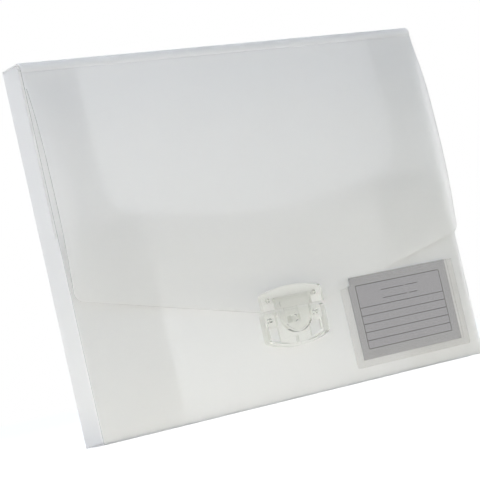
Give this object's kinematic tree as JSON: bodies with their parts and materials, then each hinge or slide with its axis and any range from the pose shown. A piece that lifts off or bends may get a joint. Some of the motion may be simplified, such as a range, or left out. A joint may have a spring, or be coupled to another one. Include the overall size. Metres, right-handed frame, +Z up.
{
  "type": "document box file",
  "caption": "Slim frosted box file standing on edge: a hinged lid with a bowed, pointed front flap, closed by a clear press clasp, and a ruled label card in a pocket.",
  "frame": {"origin": "centre of the bottom wall's outer face, which the box stands on", "axes": "+X to the right across the width, +Y from the front to the back, +Z up; the front, with its flap and clasp, faces -Y"},
  "size_m": [0.33, 0.0328, 0.25],
  "materials": {
    "frosted_sheet": "frosted translucent polypropylene sheet, fine matt grain",
    "crease_web": "thinned, slightly whitened crease of the same sheet",
    "clear_moulding": "clear glossy injection moulding",
    "clear_film": "thin clear film, softly glossy, with matt welded seams",
    "label_card": "uncoated grey card with fine printed rules"
  },
  "bodies": {
    "box": {"back_panel": "frosted_sheet", "bottom_wall": "frosted_sheet", "front_panel": "frosted_sheet", "left_side_wall": "frosted_sheet", "right_side_wall": "frosted_sheet", "left_inner_tab": "frosted_sheet", "right_inner_tab": "frosted_sheet", "rear_living_hinge": "crease_web", "clasp_base": "clear_moulding", "base_back_plate": "clear_moulding", "base_rivets": "clear_moulding", "label_pocket": "clear_film", "label_card": "label_card"},
    "lid": {"lid_top_wall": "frosted_sheet", "front_living_hinge": "crease_web"},
    "flap": {"lid_flap": "frosted_sheet", "hasp": "clear_moulding", "hasp_back_plate": "clear_moulding", "hasp_pins": "clear_moulding"},
    "latch": {"latch_tongue": "clear_moulding"}
  },
  "joints": [
    {"name": "lid_hinge", "type": "hinge", "parent": "box", "child": "lid", "pos_m": [0, 0.0121, 0.2496], "axis": [-1, 0, 0], "range_deg": [0, 200]},
    {"name": "flap_hinge", "type": "hinge", "parent": "lid", "child": "flap", "pos_m": [0, -0.0132, 0.243], "axis": [-1, 0, 0], "range_deg": [0, 110]},
    {"name": "latch_hinge", "type": "hinge", "parent": "flap", "child": "latch", "pos_m": [0, -0.0183, 0.0686], "axis": [-1, 0, 0], "range_deg": [0, 75]}
  ]
}
